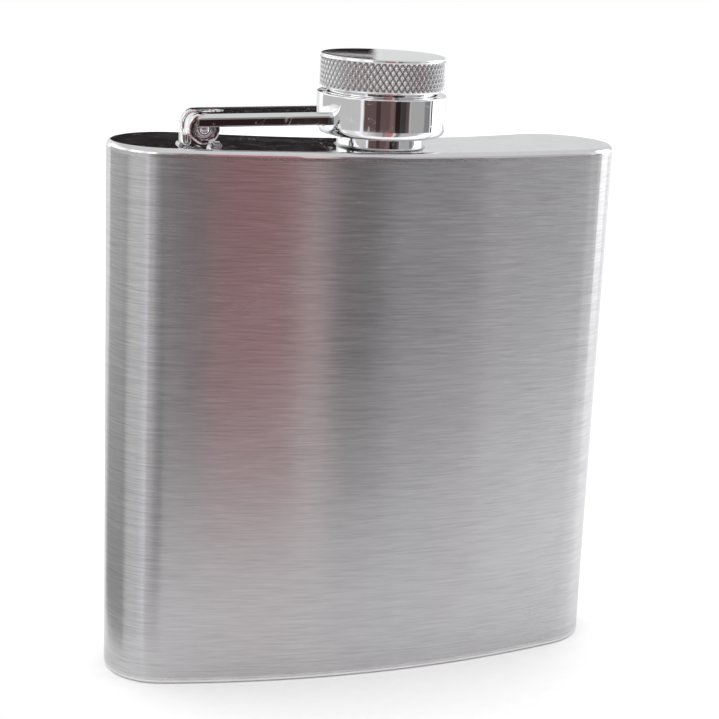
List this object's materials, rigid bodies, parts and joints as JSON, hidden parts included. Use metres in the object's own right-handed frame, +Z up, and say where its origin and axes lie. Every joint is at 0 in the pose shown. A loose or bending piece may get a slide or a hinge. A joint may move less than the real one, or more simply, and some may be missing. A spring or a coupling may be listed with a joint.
{
  "type": "hip flask",
  "caption": "Curved steel hip flask with a knurled screw cap held captive on a hinged arm that swings clear of the neck.",
  "frame": {"origin": "on the standing face, directly below the axis of the neck", "axes": "+Z up along the neck, -Y out of the bowed front face, +X to the right seen from the front, with the hinge on the -X side"},
  "size_m": [0.093, 0.0275, 0.1117],
  "materials": {
    "brushed_shell": "fine horizontal brushing",
    "polished_plate": "mirror polish",
    "polished_fittings": "bright polish",
    "weld_line": "ground and polished weld",
    "insert_plastic": "moulded",
    "gasket_rubber": "matt"
  },
  "bodies": {
    "flask": {"body_shell": "brushed_shell", "side_seam": "weld_line", "top_plate": "polished_plate", "top_weld": "weld_line", "base_plate": "polished_plate", "base_weld": "weld_line", "neck": "polished_fittings", "neck_weld": "weld_line", "hinge_lug": "polished_fittings", "lug_weld_left": "weld_line", "lug_weld_right": "weld_line", "hinge_pin": "polished_fittings"},
    "arm": {"arm": "polished_fittings", "collar": "polished_fittings", "arm_weld": "weld_line"},
    "washer": {"slip_washer": "polished_fittings"},
    "cap": {"cap_cup": "polished_fittings", "cap_insert": "insert_plastic", "cap_sleeve": "polished_fittings", "cap_gasket": "gasket_rubber", "retaining_ring": "polished_fittings"}
  },
  "joints": [
    {"name": "arm_swing", "type": "hinge", "parent": "flask", "child": "arm", "pos_m": [-0.032, 0, 0.09906], "axis": [0, -1, 0], "range_deg": [0, 175]},
    {"name": "cap_rise", "type": "slide", "parent": "arm", "child": "washer", "axis": [0, 0, 1], "range_m": [0, 0.0045]},
    {"name": "cap_turn", "type": "hinge", "parent": "washer", "child": "cap", "pos_m": [0, 0, 0.1], "axis": [0, 0, 1], "range_deg": [0, 1080]}
  ],
  "couplings": [
    {"joint": "cap_rise", "follows": "cap_turn", "m_per_rad": 0.00023873}
  ]
}
